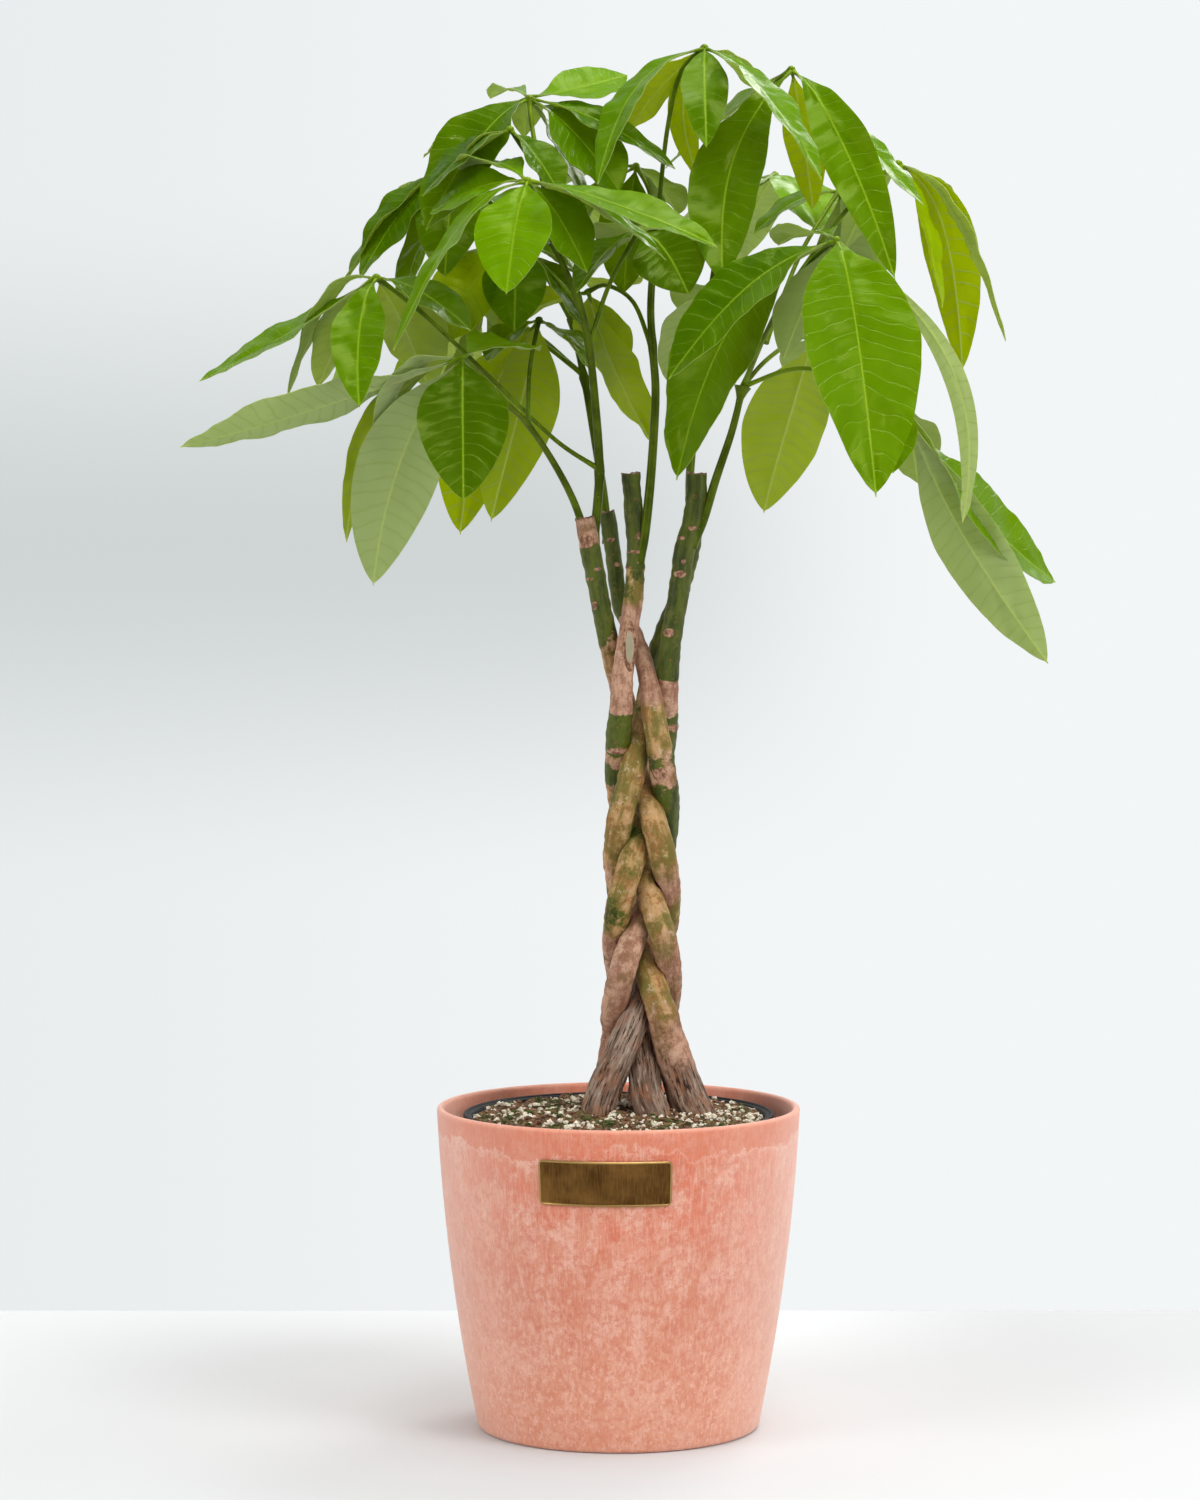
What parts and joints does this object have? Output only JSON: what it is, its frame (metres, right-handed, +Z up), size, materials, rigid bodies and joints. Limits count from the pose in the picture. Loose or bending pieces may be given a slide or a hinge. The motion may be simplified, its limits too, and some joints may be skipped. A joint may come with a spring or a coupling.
{
  "type": "potted money tree",
  "caption": "Braided money tree with palmate leaves, in a nursery pot that stands inside a tapered planter with a bare plate.",
  "frame": {"origin": "centre of the planter's flat underside", "axes": "+Z up along the planter's axis; -Y is the front, where the plate is; +X to the right seen from the front"},
  "size_m": [0.5936, 0.4435, 0.9426],
  "materials": {
    "planter": "matt mottled terracotta composite, lighter washed streaks and rim",
    "plate": "dark antiqued brass with a worn bright edge, bare",
    "nursery_pot": "thin black moulded plastic, satin",
    "soil": null,
    "bark": "living stem: green skin above, tan and ochre patches in the middle, grey-brown fissured bark at the foot",
    "leaf": null
  },
  "bodies": {
    "root": {"planter": "planter", "name_plate": "plate", "nursery_pot": "nursery_pot", "soil": "soil", "trunk_middle": "bark", "trunk_back_left": "bark", "trunk_back_right": "bark", "trunk_left": "bark", "trunk_right": "bark", "shoot_front_left": "leaf", "shoot_left": "leaf", "shoot_back_left": "leaf", "shoot_middle": "leaf", "shoot_back_right": "leaf", "shoot_right": "leaf"}
  },
  "joints": []
}
